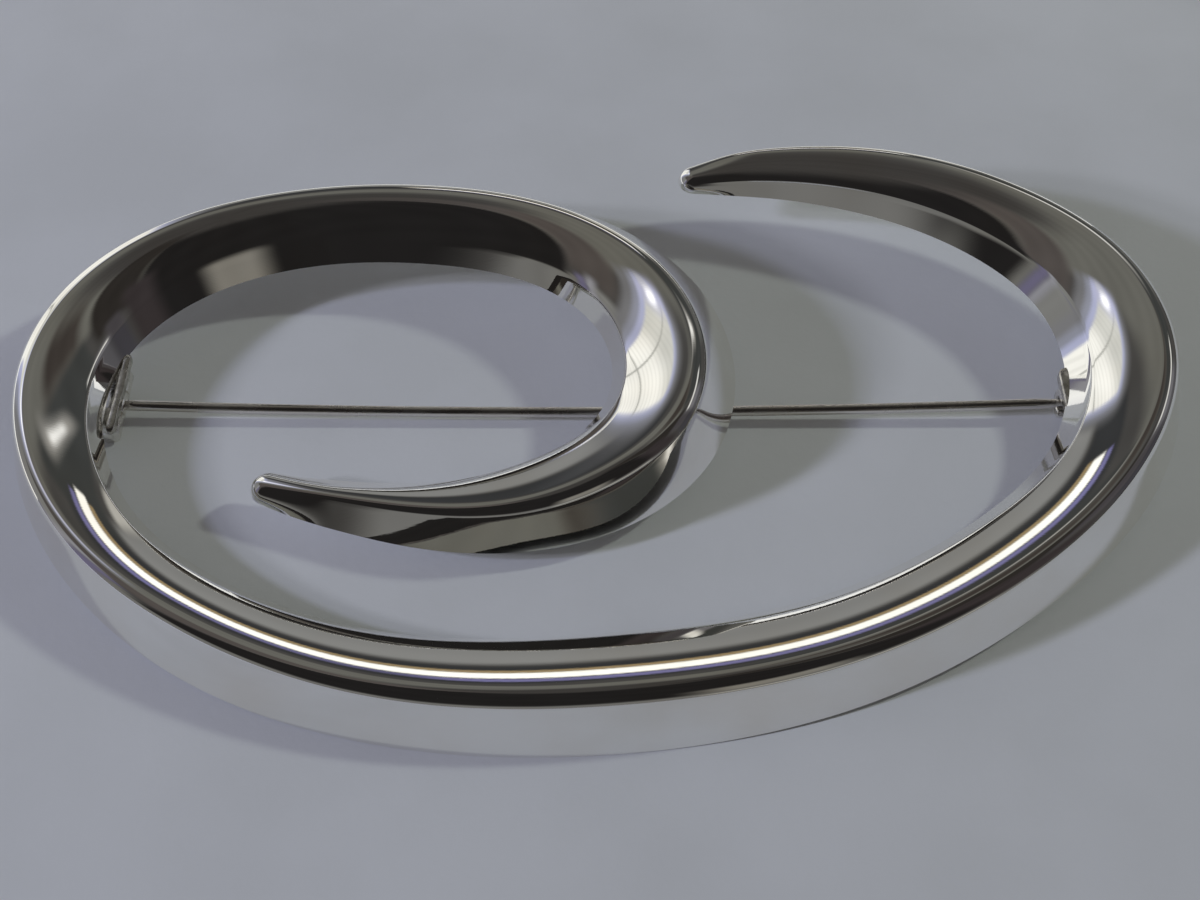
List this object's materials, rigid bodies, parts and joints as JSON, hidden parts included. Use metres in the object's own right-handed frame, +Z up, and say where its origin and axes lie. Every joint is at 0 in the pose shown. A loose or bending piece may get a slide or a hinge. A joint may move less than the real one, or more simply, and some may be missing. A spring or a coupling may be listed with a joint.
{
  "type": "silver brooch",
  "caption": "Polished silver spiral brooch: a hollow ribbon wound from a small loop into a wide arc, a horn at each end, with a hinged pin stem across its open back.",
  "frame": {"origin": "on the surface that it lies on, below the middle of its outline", "axes": "+X along its length towards the catch, +Y away from the front, +Z up; it lies face up on its front edge, its hinge and its catch"},
  "size_m": [0.082, 0.05, 0.0074],
  "materials": {
    "silver": "polished silver",
    "stem_silver": "drawn and polished silver wire"
  },
  "bodies": {
    "brooch": {"swirl_body": "silver", "hinge_rivet": "silver"},
    "stem": {"pin_stem": "stem_silver"}
  },
  "joints": [
    {"name": "stem_hinge", "type": "hinge", "parent": "brooch", "child": "stem", "pos_m": [-0.03451, 0.00212, 0.00115], "axis": [0, 0.9956, 0.0934], "range_deg": [0, 95]}
  ]
}
